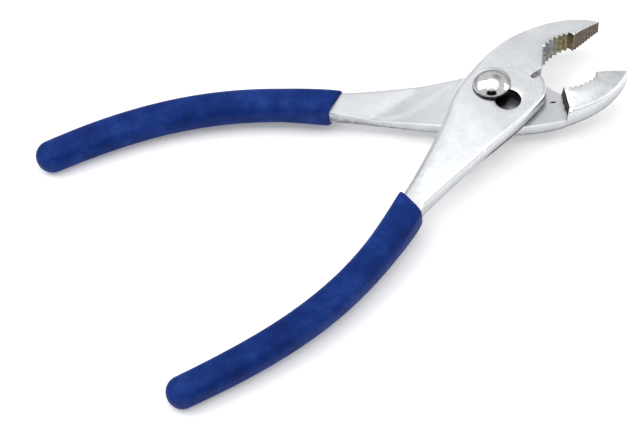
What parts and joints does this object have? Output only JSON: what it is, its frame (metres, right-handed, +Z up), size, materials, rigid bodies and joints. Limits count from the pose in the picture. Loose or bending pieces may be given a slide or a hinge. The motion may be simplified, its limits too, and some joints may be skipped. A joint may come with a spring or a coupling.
{
  "type": "slip joint pliers",
  "caption": "Two-position slip-joint pliers with toothed nose, curved pipe grip, wire-cutter notch, domed pivot bolt and dipped vinyl handle sleeves, standing open.",
  "frame": {"origin": "on the pivot axis, at the pivot bolt's lower end face, which touches the surface the pliers lie on", "axes": "+Z up along the pivot axis, out of the bolt's domed head; +X from the handles towards the jaws; +Y towards the side of the slotted half's jaw and of the plain half's handle"},
  "size_m": [0.1922, 0.1158, 0.0184],
  "materials": {
    "steel": "satin nickel plating over a forging",
    "bolt_steel": "polished nickel plating",
    "vinyl": "dipped vinyl, matte"
  },
  "bodies": {
    "slotted": {"slotted_half": "steel", "grip_slotted_half": "vinyl"},
    "pivot": {"pivot_bolt": "bolt_steel", "pivot_nut": "bolt_steel"},
    "plain": {"plain_half": "steel", "grip_plain_half": "vinyl"}
  },
  "joints": [
    {"name": "slip", "type": "slide", "parent": "slotted", "child": "pivot", "axis": [0.1736, -0.9848, 0], "range_m": [0, 0.0082]},
    {"name": "handle_hinge", "type": "hinge", "parent": "pivot", "child": "plain", "pos_m": [0, 0, 0], "axis": [0, 0, 1], "range_deg": [-4, 28.3]}
  ]
}
